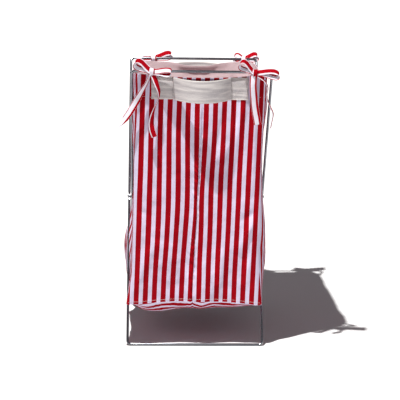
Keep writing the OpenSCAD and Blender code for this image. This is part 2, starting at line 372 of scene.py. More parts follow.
def make_bottom(walls):
    """The sagging bottom, fitted to the lowest row of the four walls."""
    front, right = walls["front"][0][-1], walls["right"][0][-1]
    back, left = walls["back"][0][-1][::-1], walls["left"][0][-1][::-1]
    p, q = np.meshgrid(np.linspace(0, 1, FACE_COLS + 1), np.linspace(0, 1, SIDE_COLS + 1))
    p3, q3 = p[..., None], q[..., None]
    points = (1 - q3) * front[None] + q3 * back[None]
    points = points + (1 - p3) * left[:, None] + p3 * right[:, None]
    points = points - (1 - p3) * (1 - q3) * front[0] - p3 * (1 - q3) * front[-1]
    points = points - (1 - p3) * q3 * back[0] - p3 * q3 * back[-1]
    across, along = 2 * p - 1, 2 * q - 1
    depth = DEEP_SAG - 12 * ease(p * 1.2 - 0.1)             # it hangs lower on its left
    dish = (1 - np.abs(along) ** 4) * (1 - np.abs(across) ** 6)
    sag = depth * dish
    x, y = points[..., 0], points[..., 1]
    edge = np.minimum(1 - np.abs(along), 1 - np.abs(across)) * 150
    near = bell(edge, 14, 20) * ease(edge / 10)
    sag += near * (2.2 * np.sin(x / 9.5 + 0.8 * np.sin(x / 23)) * np.abs(along) ** 2)
    sag += near * (2.0 * np.sin(y / 10.5) * np.abs(across) ** 2)
    sag += noise_field(x, y, 60, 60, 41.0) * 3.0 * ease(edge / 40)
    sag += noise_field(x, y, 17, 17, 43.0) * 0.8 * ease(edge / 20)
    points[..., 2] -= sag
    cloth = np.stack([y + 4, x, 0 * x], -1)
    return points, grid_normals(points, False), cloth


# ---------------- mesh building

def add_object(name, data):
    piece = bpy.data.objects.new(name, data)
    bpy.context.scene.collection.objects.link(piece)
    return piece


class Shape:
    """Collects points, faces, cloth coordinates and material numbers, and makes one object."""

    def __init__(self):
        self.points, self.cloth, self.faces, self.numbers = [], [], [], []
        self.count = 0

    def add(self, points, cloth, faces, number=0):
        points = np.asarray(points, float).reshape(-1, 3)
        numbers = [number] * len(faces) if isinstance(number, int) else number
        self.points.append(points)
        self.cloth.append(np.asarray(cloth, float).reshape(-1, 3))
        self.faces += [[i + self.count for i in face] for face in faces]
        self.numbers += numbers
        self.count += len(points)

    def make(self, name, materials, sharp=55):
        mesh = bpy.data.meshes.new(name)
        points = np.concatenate(self.points) * M_PER_MM
        mesh.from_pydata(points.tolist(), [], self.faces)
        mesh.polygons.foreach_set("material_index", self.numbers)
        mesh.polygons.foreach_set("use_smooth", [True] * len(self.faces))
        cloth = mesh.attributes.new("cloth", "FLOAT_VECTOR", "POINT")
        cloth.data.foreach_set("vector", np.concatenate(self.cloth).ravel() * M_PER_MM)
        mesh.validate()
        mesh.set_sharp_from_angle(angle=math.radians(sharp))
        for material in materials:
            mesh.materials.append(material)
        return add_object(name, mesh)


def thick_sheet(grid, normals, cloth, thick, inner_number=1):
    """A closed sheet: the given outer face, an inner face a thickness behind it, and a rim."""
    rows, cols = grid.shape[:2]
    shape = Shape()
    outer = np.arange(rows * cols).reshape(rows, cols)
    inner = outer + rows * cols
    quads = np.stack([outer[:-1, :-1], outer[1:, :-1], outer[1:, 1:], outer[:-1, 1:]], -1)
    quads = quads.reshape(-1, 4)
    back = quads[:, ::-1] + rows * cols
    faces = quads.tolist() + back.tolist()
    numbers = [0] * len(quads) + [inner_number] * len(back)
    loop = [(0, c) for c in range(cols)] + [(r, cols - 1) for r in range(1, rows)]
    loop += [(rows - 1, c) for c in range(cols - 2, -1, -1)]
    loop += [(r, 0) for r in range(rows - 2, 0, -1)]
    for a, b in zip(loop, loop[1:] + loop[:1]):
        faces.append([int(outer[a]), int(outer[b]), int(inner[b]), int(inner[a])])
        numbers.append(0)
    points = np.concatenate([grid.reshape(-1, 3), (grid - normals * thick).reshape(-1, 3)])
    shape.add(points, np.concatenate([cloth.reshape(-1, 3)] * 2), faces, numbers)
    return shape


def spline(points, step=2.0):
    """A smooth line through given rows of numbers, with its places resampled evenly."""
    p = np.array(points, float)
    p = np.concatenate([[2 * p[0] - p[1]], p, [2 * p[-1] - p[-2]]])
    out = []
    for a, b, c, d in zip(p, p[1:], p[2:], p[3:]):
        for t in np.linspace(0, 1, 24, endpoint=False):
            out.append(0.5 * (2 * b + (c - a) * t + (2 * a - 5 * b + 4 * c - d) * t ** 2
                              + (3 * b - a - 3 * c + d) * t ** 3))
    out = np.array(out + [p[-2]])
    length = run_length(out[:, :3])
    places = np.linspace(0, length[-1], max(4, int(length[-1] / step)) + 1)
    return np.stack([np.interp(places, length, out[:, k]) for k in range(out.shape[1])], -1), places


def turned(route):
    """Turns (x, y, z, turn) into places and width directions: 0 degrees along x, 90 along y."""
    return [(x, y, z, math.cos(math.radians(turn)), math.sin(math.radians(turn)), 0)
            for x, y, z, turn in route]


def tube_faces(rings, n, inward=False):
    """Faces of a closed tube through rings of n points each. Inward turns them over."""
    quads = [[i * n + k, i * n + (k + 1) % n, (i + 1) * n + (k + 1) % n, (i + 1) * n + k]
             for i in range(rings - 1) for k in range(n)]
    first, last = list(range(n)), [(rings - 1) * n + k for k in range(n)]
    if inward:
        return [[a, d, c, b] for a, b, c, d in quads] + [first, last[::-1]]
    return quads + [first[::-1], last]


def all_round(c, body):
    """Places across a strip and its half thickness there, run round both of its faces."""
    return np.concatenate([c, c[-2:0:-1]]), np.concatenate([body, -body[-2:0:-1]])


TAPE_ACROSS = np.array([-1, -0.93, -0.7, -0.35, 0, 0.35, 0.7, 0.93, 1])
BACK_FACE = 1000.0      # marks the other face of a tape, in its cloth coordinates


def tape(shape, route, width=TAPE_W, cup=0.0, flip=False, end="square"):
    """A woven tape along a route of places, each followed by the direction of its width there.
    Cup bends it across its width, and end may be square or point."""
    line, places = spline(route)
    centre, side = line[:, :3], line[:, 3:]
    along = np.gradient(centre, axis=0)
    along /= np.linalg.norm(along, axis=1, keepdims=True)
    side = side - along * (side * along).sum(1, keepdims=True)
    side /= np.linalg.norm(side, axis=1, keepdims=True)
    face = np.cross(side, along)
    half = np.full(len(places), width / 2)
    if end == "point":
        half = half * np.clip((places[-1] - places + 0.8) / (1.6 * width), 0.06, 1) ** 0.8
    c = TAPE_ACROSS
    ring_c, ring_h = all_round(c, 0.5 * TAPE_T * (1 - c ** 6) ** 0.5)
    ring_side = np.concatenate([np.zeros(len(c)), np.ones(len(c) - 2)])
    if flip:
        ring_side = 1 - ring_side
    bend = cup * (ring_c ** 2 - 0.4)
    points = (centre[:, None] + side[:, None] * (ring_c[None, :, None] * half[:, None, None])
              + face[:, None] * (ring_h + bend)[None, :, None])
    n = len(ring_c)
    cloth = np.stack([ring_c[None] * half[:, None],
                      np.broadcast_to(places[:, None], (len(places), n)),
                      np.broadcast_to(ring_side[None] * BACK_FACE, (len(places), n))], -1)
    shape.add(points, cloth, tube_faces(len(places), n))


def blob(shape, centre, radii, lumps=0.12, rings=14, segments=22):
    """A lumpy closed ball, as tape pulled tight into a knot."""
    a, b = np.meshgrid(np.linspace(0, 2 * np.pi, segments, endpoint=False),
                       np.linspace(0, np.pi, rings + 1)[1:-1])
    swell = 1 + lumps * np.sin(2 * a + 3 * b) * np.sin(b)
    points = np.stack([np.cos(a) * np.sin(b) * swell, np.sin(a) * np.sin(b) * swell, np.cos(b)], -1)
    points = points * radii + centre
    rows = rings - 1
    faces = [[i * segments + k, (i + 1) * segments + k, (i + 1) * segments + (k + 1) % segments,
              i * segments + (k + 1) % segments] for i in range(rows - 1) for k in range(segments)]
    faces += [[rows * segments, k, (k + 1) % segments] for k in range(segments)]
    last = (rows - 1) * segments
    faces += [[rows * segments + 1, last + (k + 1) % segments, last + k] for k in range(segments)]
    poles = np.array([centre + np.array([0, 0, radii[2]]), centre - np.array([0, 0, radii[2]])])
    points = np.concatenate([points.reshape(-1, 3), poles])
    cloth = np.stack([(points[:, 0] - centre[0]) * 0.9, points[:, 2], 0 * points[:, 0]], -1)
    shape.add(points, cloth, faces)


STITCH_SIDES = 6


def stitch_row(shape, places, outs):
    """A row of stitches along places, lying on a surface whose outward directions are outs."""
    length = run_length(places)
    for s in np.arange(STITCH_STEP / 2, length[-1] - STITCH_L / 2, STITCH_STEP):
        ends = [np.array([np.interp(s + d, length, places[:, k]) for k in range(3)])
                for d in (-STITCH_L / 2, STITCH_L / 2)]
        out = np.array([np.interp(s, length, outs[:, k]) for k in range(3)])
        along = ends[1] - ends[0]
        along = along / max(np.linalg.norm(along), 1e-9)
        side = np.cross(along, out)
        rings = [ends[0]]
        for share, radius in ((0.18, STITCH_R), (0.82, STITCH_R)):
            middle = ends[0] + (ends[1] - ends[0]) * share + out * STITCH_R * 0.7
            for k in range(STITCH_SIDES):
                a = 2 * math.pi * k / STITCH_SIDES
                rings.append(middle + radius * (side * math.cos(a) + out * math.sin(a)))
        rings.append(ends[1])
        n = STITCH_SIDES
        faces = [[0, 1 + (k + 1) % n, 1 + k] for k in range(n)]
        faces += [[1 + k, 1 + (k + 1) % n, 1 + n + (k + 1) % n, 1 + n + k] for k in range(n)]
        faces += [[1 + 2 * n, 1 + n + k, 1 + n + (k + 1) % n] for k in range(n)]
        cloth = np.zeros((len(rings), 3))
        cloth[:, 0] = s
        shape.add(np.array(rings), cloth, faces)


def on_wall(wall, column, height):
    """Points and outward directions on a wall, at column shares 0 to 1 and heights in millimetres."""
    grid, normals, _ = wall
    cols = grid.shape[1]
    points, outs = [], []
    for share, z in zip(column, height):
        f = min(max(share, 0), 1) * (cols - 1)
        i = min(int(f), cols - 2)
        strip = grid[:, i] * (1 - f + i) + grid[:, i + 1] * (f - i)
        strip_n = normals[:, i] * (1 - f + i) + normals[:, i + 1] * (f - i)
        points.append([np.interp(-z, -strip[:, 2], strip[:, k]) for k in range(3)])
        outs.append([np.interp(-z, -strip[:, 2], strip_n[:, k]) for k in range(3)])
    outs = np.array(outs)
    return np.array(points), outs / np.linalg.norm(outs, axis=1, keepdims=True)


def column_at(wall, x, z):
    """The column share of a front or back wall at which its cloth has that x, at that height."""
    grid = wall[0]
    row = int(np.argmin(np.abs(grid[:, grid.shape[1] // 2, 2] - z)))
    xs = grid[row, :, 0]
    shares = np.linspace(0, 1, grid.shape[1])
    if xs[0] > xs[-1]:
        xs, shares = xs[::-1], shares[::-1]
    return float(np.interp(x, xs, shares))


# ---------------- materials

class Tree:
    """A short way to wire the nodes of a material, a lamp or the world."""

    def __init__(self, owner):
        owner.use_nodes = True
        self.tree = owner.node_tree
        self.tree.nodes.clear()

    def link(self, value, socket):
        if isinstance(value, bpy.types.NodeSocket):
            self.tree.links.new(value, socket)
        else:
            socket.default_value = value

    def node(self, kind, inputs=None, output=0, **settings):
        """One output of a new node, whose inputs are fed by their number or name."""
        node = self.tree.nodes.new("ShaderNode" + kind)
        for name, value in settings.items():
            setattr(node, name, value)
        for key, value in (inputs or {}).items():
            self.link(value, node.inputs[key])
        return node.outputs[output] if node.outputs else None


class Nodes(Tree):
    """A procedural material."""

    def __init__(self, name):
        self.material = bpy.data.materials.new(name)
        super().__init__(self.material)
        self.shader = self.node("BsdfPrincipled").node
        self.node("OutputMaterial", {"Surface": self.shader.outputs[0]})

    def set(self, **values):
        for name, value in values.items():
            self.link(value, self.shader.inputs[name.replace("_", " ")])

    def cloth(self):
        """The cloth coordinates: across, along and which face."""
        return self.split(self.node("Attribute", output="Vector", attribute_name="cloth"))

    def place(self):
        return self.node("TexCoord", output="Object")

    def split(self, vector):
        return self.node("SeparateXYZ", {0: vector}).node.outputs

    def join(self, x, y, z=0.0):
        return self.node("CombineXYZ", {0: x, 1: y, 2: z})

    def math(self, operation, a, b=0.0):
        return self.node("Math", {0: a, 1: b}, operation=operation)

    def times(self, a, b):
        return self.math("MULTIPLY", a, b)

    def noise(self, vector, scale, detail=3.0, rough=0.5):
        inputs = {"Vector": vector, "Scale": scale, "Detail": detail, "Roughness": rough}
        return self.node("TexNoise", inputs)

    def remap(self, value, low, high, to_low=0.0, to_high=1.0):
        return self.node("MapRange", {0: value, 1: low, 2: high, 3: to_low, 4: to_high})

    def mix(self, share, a, b, blend="MIX"):
        a, b = ((*c, 1.0) if isinstance(c, tuple) else c for c in (a, b))
        return self.node("Mix", {0: share, 6: a, 7: b}, 2, data_type="RGBA", blend_type=blend)

    def bump(self, height, strength, distance, before=None):
        inputs = {"Strength": strength, "Distance": distance, "Height": height}
        return self.node("Bump", inputs if before is None else {**inputs, "Normal": before})

    def waver(self, u, v, scale, amount):
        """A small uneven shift, of up to half the amount either way."""
        noise = self.noise(self.join(u, v), scale, 1.0)
        return self.times(self.math("SUBTRACT", noise, 0.5), amount)

    def weave(self, u, v, pitch):
        """Height of a plain weave: threads over and under each other, pitch apart."""
        a, b = self.times(u, math.pi / pitch), self.times(v, math.pi / pitch)
        warp = self.math("ABSOLUTE", self.math("SINE", a))
        weft = self.math("ABSOLUTE", self.math("SINE", b))
        checker = self.times(self.math("SINE", self.math("ADD", a, b)),
                             self.math("SINE", self.math("SUBTRACT", a, b)))
        return self.node("Mix", {0: self.remap(checker, -0.6, 0.6), 2: warp, 3: weft})

    def wave_mask(self, u, pitch, share, soft):
        """0 in the bands centred on whole pitches, and 1 between them. Share is the bands' part."""
        phase = self.math("PINGPONG", self.math("ADD", u, 100 * pitch), pitch / 2)
        edge = pitch / 2 * share
        return self.remap(phase, edge - soft, edge + soft)


RED = (0.37, 0.0004, 0.007)
RED_DEEP = (0.25, 0.0003, 0.004)
WHITE = (0.74, 0.675, 0.85)
WHITE_DIM = (0.62, 0.555, 0.725)
WHITE_RIB = (0.52, 0.44, 0.60)
# the lining's pale pink, deepened and darkened as painted light: red light through the striped cloth
# and shade inside the bag
LINING = (0.72, 0.57, 0.585)
LINING_DIM = (0.60, 0.455, 0.475)
TAPE_WHITE = (0.82, 0.79, 0.88)
WEBBING = (0.60, 0.565, 0.55)
# the darker tone of the webbing's painted sheen streaks
WEBBING_PAINTED_SHADE = (0.36, 0.335, 0.345)
WEAVE = 0.00062         # from thread to thread, in metres


def cotton_finish(m, u, v, colour, weave_pitch=WEAVE, crinkle=0.35):
    """Adds what all the cotton shares: slub, crumple, weave, roughness and a dry look."""
    flat = m.join(u, v)
    cloud = m.noise(flat, 34.0, 4.0)
    colour = m.mix(m.remap(cloud, 0.3, 0.75, 0.0, 0.16), colour, (0.0, 0.0, 0.0), "MULTIPLY")
    slub = m.noise(m.join(m.times(u, 9.0), v), 260.0, 2.0)
    colour = m.mix(m.remap(slub, 0.35, 0.7, 0.0, 0.10), colour, (1.0, 1.0, 1.0), "OVERLAY")
    crumple = m.bump(m.noise(flat, 75.0, 5.0, 0.55), crinkle, 0.0022)
    threads = m.bump(m.weave(u, v, weave_pitch), 0.22, 0.00012, crumple)
    m.set(Base_Color=colour, Normal=threads, Roughness=m.remap(cloud, 0.3, 0.8, 0.74, 0.92))
    m.set(Specular_IOR_Level=0.06)
    return m.material


def make_striped():
    m = Nodes("striped_cotton")
    u, v, _ = m.cloth()
    place = m.math("ADD", m.math("ADD", u, m.waver(u, v, 7.0, 0.0016)), m.waver(u, v, 900.0, 0.0005))
    pitch = STRIPE_PITCH * M_PER_MM
    in_red = m.wave_mask(place, pitch, 0.43, 0.00022)
    tone = m.noise(m.join(u, m.times(v, 0.15)), 60.0, 2.0)
    rib = m.math("ADD", m.times(m.wave_mask(place, pitch, 0.12, 0.0016), 0.5), 0.5)
    pale = m.mix(rib, m.mix(tone, WHITE_DIM, WHITE_RIB), m.mix(tone, WHITE, WHITE_DIM))
    return cotton_finish(m, u, v, m.mix(in_red, pale, m.mix(tone, RED, RED_DEEP)))


def make_lining():
    m = Nodes("cotton_lining")
    u, v, _ = m.cloth()
    tone = m.noise(m.join(u, v), 18.0)
    # partly the lining's own pale pink, partly painted light: darker and pinker for red light through
    # the striped cloth and shade inside the bag
    return cotton_finish(m, u, v, m.mix(tone, LINING, LINING_DIM), 0.0008, 0.5)


def make_tape():
    """Tie tape cut from the striped cloth: one face white between red edges, the other red."""
    m = Nodes("tie_tape")
    u, v, face = m.cloth()
    back = m.math("GREATER_THAN", face, 0.5)
    place = m.math("ADD", u, m.waver(u, v, 22.0, 0.0030))
    front_red = m.math("MAXIMUM", m.remap(place, 0.0030, 0.0033),
                       m.remap(place, -0.0061, -0.0058, 1.0, 0.0))
    back_red = m.math("MINIMUM", m.remap(place, -0.0046, -0.0043),
                      m.remap(place, 0.0058, 0.0061, 1.0, 0.0))
    in_red = m.math("ADD", m.times(back, back_red), m.times(m.math("SUBTRACT", 1.0, back), front_red))
    return cotton_finish(m, u, v, m.mix(in_red, TAPE_WHITE, RED), WEAVE, 0.45)


def make_webbing():
    """Satin webbing: a dense ribbed weave with a soft shine, painted sheen streaks along it and a
    selvedge along each edge.
    """
    m = Nodes("satin_webbing")
    u, v, _ = m.cloth()
    drawn = m.join(m.times(u, 0.12), v)
    # painted sheen: lighter and darker streaks along the strap stand in for the satin's shine and shade
    # over its folds
    colour = m.mix(m.remap(m.noise(drawn, 110.0), 0.38, 0.62), WEBBING, WEBBING_PAINTED_SHADE)
    speck = m.noise(m.join(u, v), 420.0, 2.0)
    colour = m.mix(m.remap(speck, 0.45, 0.8, 0.0, 0.25), colour, (0.75, 0.72, 0.68))
    edge = m.remap(m.math("ABSOLUTE", v), 0.0215, 0.0222)
    colour = m.mix(m.times(edge, 0.55), colour, (0.72, 0.69, 0.64))
    ribs = m.math("ABSOLUTE", m.math("SINE", m.times(u, math.pi / 0.0011)))
    fine = m.math("ABSOLUTE", m.math("SINE", m.times(v, math.pi / 0.0006)))
    height = m.times(ribs, m.math("ADD", 0.6, m.times(fine, 0.4)))
    wavy = m.bump(m.noise(drawn, 130.0), 0.6, 0.003)
    m.set(Base_Color=colour, Normal=m.bump(height, 0.35, 0.00025, wavy))
    m.set(Roughness=m.remap(speck, 0.3, 0.8, 0.38, 0.6), Sheen_Weight=0.2, Specular_IOR_Level=0.5)
    return m.material


def make_thread():
    m = Nodes("stitch_thread")
    u, v, _ = m.cloth()
    twist = m.noise(m.join(u, v), 900.0, 1.0)
    m.set(Base_Color=m.mix(twist, (0.76, 0.68, 0.67), (0.60, 0.49, 0.49)), Roughness=0.6)
    m.set(Normal=m.bump(twist, 0.3, 0.0002), Sheen_Weight=0.2)
    return m.material


def make_chrome():
    """Bright chromed wire with faint drawing lines, a haze of fingerprints and duller spots. Its colour
    is painted dark, as reflection of dim surroundings.
    """
    m = Nodes("chromed_wire")
    place = m.place()
    x, y, z = m.split(place)
    haze = m.noise(place, 26.0, 4.0, 0.6)
    drawn = m.noise(m.join(m.times(x, 900.0), m.times(y, 900.0), z), 1.0, 2.0)
    # painted reflection: both tones are far darker than bright chrome and stand in for dim
    # surroundings; the haze between them is fingerprints
    colour = m.mix(m.remap(haze, 0.35, 0.7), (0.24, 0.25, 0.275), (0.15, 0.155, 0.17))
    m.set(Base_Color=colour, Metallic=1.0, Roughness=m.remap(haze, 0.3, 0.75, 0.12, 0.30))
    m.set(Normal=m.bump(drawn, 0.05, 0.0002))
    return m.material


def make_steel():
    m = Nodes("rivet_steel")
    place = m.place()
    grain = m.noise(place, 420.0, 3.0, 0.6)
    # painted reflection: the steel's colour is kept dark, standing in for a dim reflection of its
    # surroundings; its two tones mix at random
    colour = m.mix(m.noise(place, 60.0), (0.26, 0.26, 0.27), (0.15, 0.15, 0.16))
    m.set(Base_Color=colour, Metallic=1.0, Roughness=m.remap(grain, 0.3, 0.8, 0.36, 0.56))
    m.set(Normal=m.bump(grain, 0.12, 0.0002))
    return m.material


striped, lining = make_striped(), make_lining()
tape_cloth, webbing, thread = make_tape(), make_webbing(), make_thread()
chrome, steel = make_chrome(), make_steel()

# ---------------- rides

WALL_BODY = {"front": "bag_front", "back": "bag_back", "left": "bag", "right": "bag", "bottom": "bag"}
FOLD_PLANE = {"bag_front": (0, -PANEL_Y * M_PER_MM, 0), "bag_back": (0, PANEL_Y * M_PER_MM, 0),
              "bag": (0, 0, 0)}


def follow(piece, body, slot, *replaced):
    """Rides a cloth piece on its body, gives it its own mesh where the body is in FOLD_PLANE, and hides
    the parts it replaces.
    """
    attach(piece, body)
    if body in FOLD_PLANE:
        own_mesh(piece)
    if replaced:
        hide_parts(*replaced)
    return piece


# ---------------- the bag

walls = make_walls()
NODE = {"front": "front", "back": "back", "left": "left_side", "right": "right_side"}
HEM_INSET = {"front": 2, "back": 2, "left": 4, "right": 4}  # columns that a hem leaves free at a seam


def make_wall(name):
    grid, normals, cloth = walls[name]
    piece = thick_sheet(grid, normals, cloth, CLOTH_T).make("cloth_" + name, [striped, lining])
    follow(piece, WALL_BODY[name], "striped_cotton", NODE[name] + "_panel")


def make_hem(name):
    """The turned-in hem: a band of lining cloth inside the rim, sewn along its lower edge."""
    grid, normals, cloth = walls[name]
    rows = int(ROWS * HEM_H / (RIM_Z - SEAM_Z)) + 1
    part = (slice(0, rows), slice(HEM_INSET[name], grid.shape[1] - HEM_INSET[name]))
    behind = grid[part] - normals[part] * (CLOTH_T + 0.35)
    behind[0, :, 2] += 0.8
    wavy = noise_field(cloth[part][..., 0], cloth[part][..., 1], 11, 30, 51.0) * 0.35
    behind = behind - normals[part] * (0.35 + wavy)[..., None]
    piece = thick_sheet(behind, normals[part], cloth[part], HEM_T, 0).make("hem_" + name, [lining])
    follow(piece, WALL_BODY[name], "cotton_lining", NODE[name] + "_hem")


def make_seams(name):
    """Topstitching of a wall: the hem's lower edge and a row just above the bottom seam."""
    shape = Shape()
    wall = walls[name]
    shares = np.linspace(0.012, 0.988, 160)
    columns = np.linspace(0, 1, wall[0].shape[1])
    top, low = (np.interp(shares, columns, wall[0][row, :, 2]) for row in (0, -1))
    for height in (top - HEM_H, low + 5.5):
        points, outs = on_wall(wall, shares, height)
        stitch_row(shape, points, outs)
    inside, outs = on_wall(wall, shares, top - HEM_H + 2.5)
    stitch_row(shape, inside - outs * (CLOTH_T + HEM_T + 1.0), -outs)
    follow(shape.make("stitches_" + name, [thread]), WALL_BODY[name], "striped_cotton")


for wall_name in ("front", "right", "back", "left"):
    make_wall(wall_name)
    make_hem(wall_name)
    make_seams(wall_name)

bottom_grid, bottom_normals, bottom_cloth = make_bottom(walls)
bottom = thick_sheet(bottom_grid, bottom_normals, bottom_cloth, CLOTH_T)
bottom = bottom.make("cloth_bottom", [striped, lining])
follow(bottom, "bag", "striped_cotton", "bottom_panel")

# ---------------- webbing handles

grip_low, grip_high = box_mm("front_handle")
GRIP_X = (grip_low[0], grip_high[0])
TAB_X = (box_mm("front_handle_left_tab")[0][0], box_mm("front_handle_right_tab")[1][0])
WEB_TOP = grip_high[2]
WEB_MID = WEB_TOP - WEB_W / 2
GRIP_OUT = 35.5
GRIP_DROOP = {-1: 5.0, 1: -3.5}     # how far the arch's middle hangs, at the front and at the back
GRIP_LEAN = 0.10
WEB_GAP = 2.4                       # from a panel's plane to the middle of the webbing
TAB_GAP = 0.4
STITCH_EDGE = 4.0


def grip_route(side):
    """Middle line of the free webbing: a round arch out from the panel, slack in its middle."""
    half = (GRIP_X[1] - GRIP_X[0]) / 2
    radius = (half ** 2 + GRIP_OUT ** 2) / (2 * GRIP_OUT)
    turn = math.asin(half / radius)
    route = []
    for a in np.linspace(-turn, turn, 15):
        out = max(0.0, radius * math.cos(a) - radius + GRIP_OUT)
        x = GRIP_X[0] + half + radius * math.sin(a)
        droop = GRIP_DROOP[side] * (out / GRIP_OUT) ** 1.5
        route.append((x, side * (PANEL_Y + WEB_GAP + out), WEB_MID - droop))
    return route


def web_strip(shape, centre, across, out):
    """Webbing with rounded selvedges along a line of centres."""
    length = run_length(centre)
    c = np.concatenate([[-1, -0.985, -0.95], np.linspace(-0.9, 0.9, 15), [0.95, 0.985, 1]])
    ring_c, ring_h = all_round(c, 0.5 * WEB_T * (1 - np.abs(c) ** 30) ** 0.5)
    ring_w = ring_c * WEB_W / 2
    size = (len(centre), len(ring_c))
    points = (centre[:, None] + across[:, None] * ring_w[None, :, None]
              + out[:, None] * ring_h[None, :, None])
    cloth = np.stack([np.broadcast_to(length[:, None], size), np.broadcast_to(ring_w[None], size),
                      np.zeros(size)], -1)
    shape.add(points, cloth, tube_faces(*size, inward=True))


def make_grip(name, side):
    line, _ = spline(grip_route(side), 1.5)
    along = np.gradient(line, axis=0)
    along /= np.linalg.norm(along, axis=1, keepdims=True)
    # the slack middle tips outwards at its foot
    lean = GRIP_LEAN * np.sin(np.pi * np.linspace(0, 1, len(line)))
    across = np.stack([0 * lean, side * lean * -1.0, np.ones(len(line))], -1)
    across -= along * (across * along).sum(1, keepdims=True)
    across /= np.linalg.norm(across, axis=1, keepdims=True)
    out = np.cross(across, along)
    shape = Shape()
    web_strip(shape, line, across, out)
    piece = shape.make("webbing_" + name, [webbing], 60)
    follow(piece, "bag_" + name, "satin_webbing", name + "_handle")


def make_tab(wall, end, x0, x1):
    """A sewn end of a handle, lying on the wall, with a box and a cross of stitches."""
    name = f"{wall}_{end}_tab"
    count = int((x1 - x0) / 2) + 1
    levels = np.linspace(-WEB_W / 2, WEB_W / 2, 21)
    columns = [column_at(walls[wall], x, WEB_MID) for x in np.linspace(x0, x1, count)]
    grid, normals = [], []
    for level in levels[::-1]:
        points, outs = on_wall(walls[wall], columns, [WEB_MID + level] * count)
        grid.append(points + outs * (WEB_T + 0.15))
        normals.append(outs)
    u, v = np.meshgrid(np.linspace(0, x1 - x0, count), levels[::-1])
    sheet = thick_sheet(np.array(grid), np.array(normals), np.stack([u, v, 0 * u], -1), WEB_T, 0)
    if wall == "back":
        sheet.faces = [face[::-1] for face in sheet.faces]
    piece = sheet.make("webbing_" + name, [webbing])
    follow(piece, WALL_BODY[wall], "satin_webbing", f"{wall}_handle_{end}_tab")
    threads = Shape()
    xs, zs = (x0 + STITCH_EDGE, x1 - STITCH_EDGE), (WEB_W / 2 - STITCH_EDGE, STITCH_EDGE - WEB_W / 2)
    corners = [(xs[0], zs[0]), (xs[1], zs[0]), (xs[1], zs[1]), (xs[0], zs[1])]
    box = list(zip(corners, corners[1:] + corners[:1]))
    for (xa, za), (xb, zb) in box + [(corners[0], corners[2]), (corners[1], corners[3])]:
        t = np.linspace(0, 1, 24)
        columns = [column_at(walls[wall], x, WEB_MID) for x in xa + (xb - xa) * t]
        points, outs = on_wall(walls[wall], columns, WEB_MID + za + (zb - za) * t)
        stitch_row(threads, points + outs * (WEB_T + 0.1), outs)
    follow(threads.make("stitches_" + name, [thread]), WALL_BODY[wall], "satin_webbing")


for wall_name, side in (("front", -1), ("back", 1)):
    make_grip(wall_name, side)
    make_tab(wall_name, "left", TAB_X[0], GRIP_X[0] - TAB_GAP)
    make_tab(wall_name, "right", GRIP_X[1] + TAB_GAP, TAB_X[1])

# ---------------- ties

KNOT_OUT = 11.0         # from the rod's middle to the knot's
LOOP_W = 15.5
BAND_W = 10.5
BAND_TURN = 12.0


def loop_route(knot, length, angle, opening, twist, lean, droop):
    """A bow loop: out from the knot at an angle from straight up, round, and back to the knot.
    Twist turns the tape's width from lying along y, at 0, to standing up, at 90."""
    a, b = math.radians(angle), math.radians(twist)
    out = np.array([math.sin(a), 0, math.cos(a)])
    up = np.array([-math.cos(a), 0, math.sin(a)]) * (1 if a > 0 else -1)
    wide = np.array([0, math.cos(b), 0]) + up * math.sin(b)
    route = []
    for t in np.linspace(0.0, 1.0, 13):
        reach = length * math.sin(math.pi * t) ** 0.85
        spread = opening * math.sin(2 * math.pi * t) * (0.35 + 0.65 * math.sin(math.pi * t))
        far = (reach / length) ** 2
        point = knot + out * reach + up * spread + np.array([0, lean * far, -droop * far])
        route.append((*point, *wide))
    return route


def rod_wrap(shape, x, y, side):
    """Tape wound once and a bit round the rod, and on to the knot in front of it."""
    radius = WIRE / 2 + TAPE_T / 2 + 0.4
    route = []
    for k in range(17):
        a = math.radians(-60 + 30 * k)
        grow = radius + 0.09 * k
        route.append((x - 2 + 0.3 * k, y + side * grow * math.cos(a), ROD_Z + grow * math.sin(a), 0))
    tape(shape, turned(route), TAPE_W - 1, flip=side > 0)


def knot_band(shape, knot, flip):
    """The band of tape pulled tight across the middle of a bow."""
    route = []
    for k in range(13):
        a = math.radians(-90 + 31 * k)
        route.append((knot[0] + 0.35 * k - 2 + 1.2 * math.sin(a), knot[1] + 6.7 * math.cos(a),
                      knot[2] + 7.6 * math.sin(a), BAND_TURN))
    tape(shape, turned(route), BAND_W, cup=-0.8, flip=flip)


def make_bow(name, body, x, side, pale, loops):
    shape = Shape()
    knot = np.array([x, side * (ROD_Y + KNOT_OUT), ROD_Z - 1])
    blob(shape, knot, np.array([6.2, 5.6, 6.6]))
    knot_band(shape, knot, pale)
    rod_wrap(shape, x, side * ROD_Y, side)
    for length, angle, opening, twist, lean, droop, flip in loops:
        route = loop_route(knot, length, angle, opening, twist, side * lean, droop)
        tape(shape, route, LOOP_W, flip=flip, cup=0.9)
    piece = shape.make("bow_" + name, [tape_cloth], 50)
    follow(piece, body, "tie_tape", name + "_bow")
    rail = name.split("_")[0] + "_top_rail"


def make_tails(name, body, routes):
    shape = Shape()
    for route, width, flip, end in routes:
        tape(shape, turned(route), width, flip=flip, cup=0.5, end=end)
    piece = shape.make("tails_" + name, [tape_cloth], 50)
    follow(piece, body, "tie_tape", name + "_tails")


# Each loop: length, angle from straight up, opening, twist, lean outwards, droop, face.
make_bow("front_left", "front_frame", -108, -1, True,
         [(40, -60, 9, 56, 4, 0, True), (42, 90, 5.5, 48, 5, 0, True)])
make_bow("front_right", "front_frame", 119, -1, False,
         [(38, -56, 9.5, 46, 4, 0, True), (53, 86, 8, 48, 4, 8, False)])
make_bow("back_left", "back_frame", -103, 1, True,
         [(31, -108, 7, 66, 3, 0, True), (43, 78, 7, 66, 3, 0, False)])
make_bow("back_right", "back_frame", 120, 1, True,
         [(20, -80, 7, 66, 3, 0, False), (35, 78, 8, 60, 3, 0, False)])

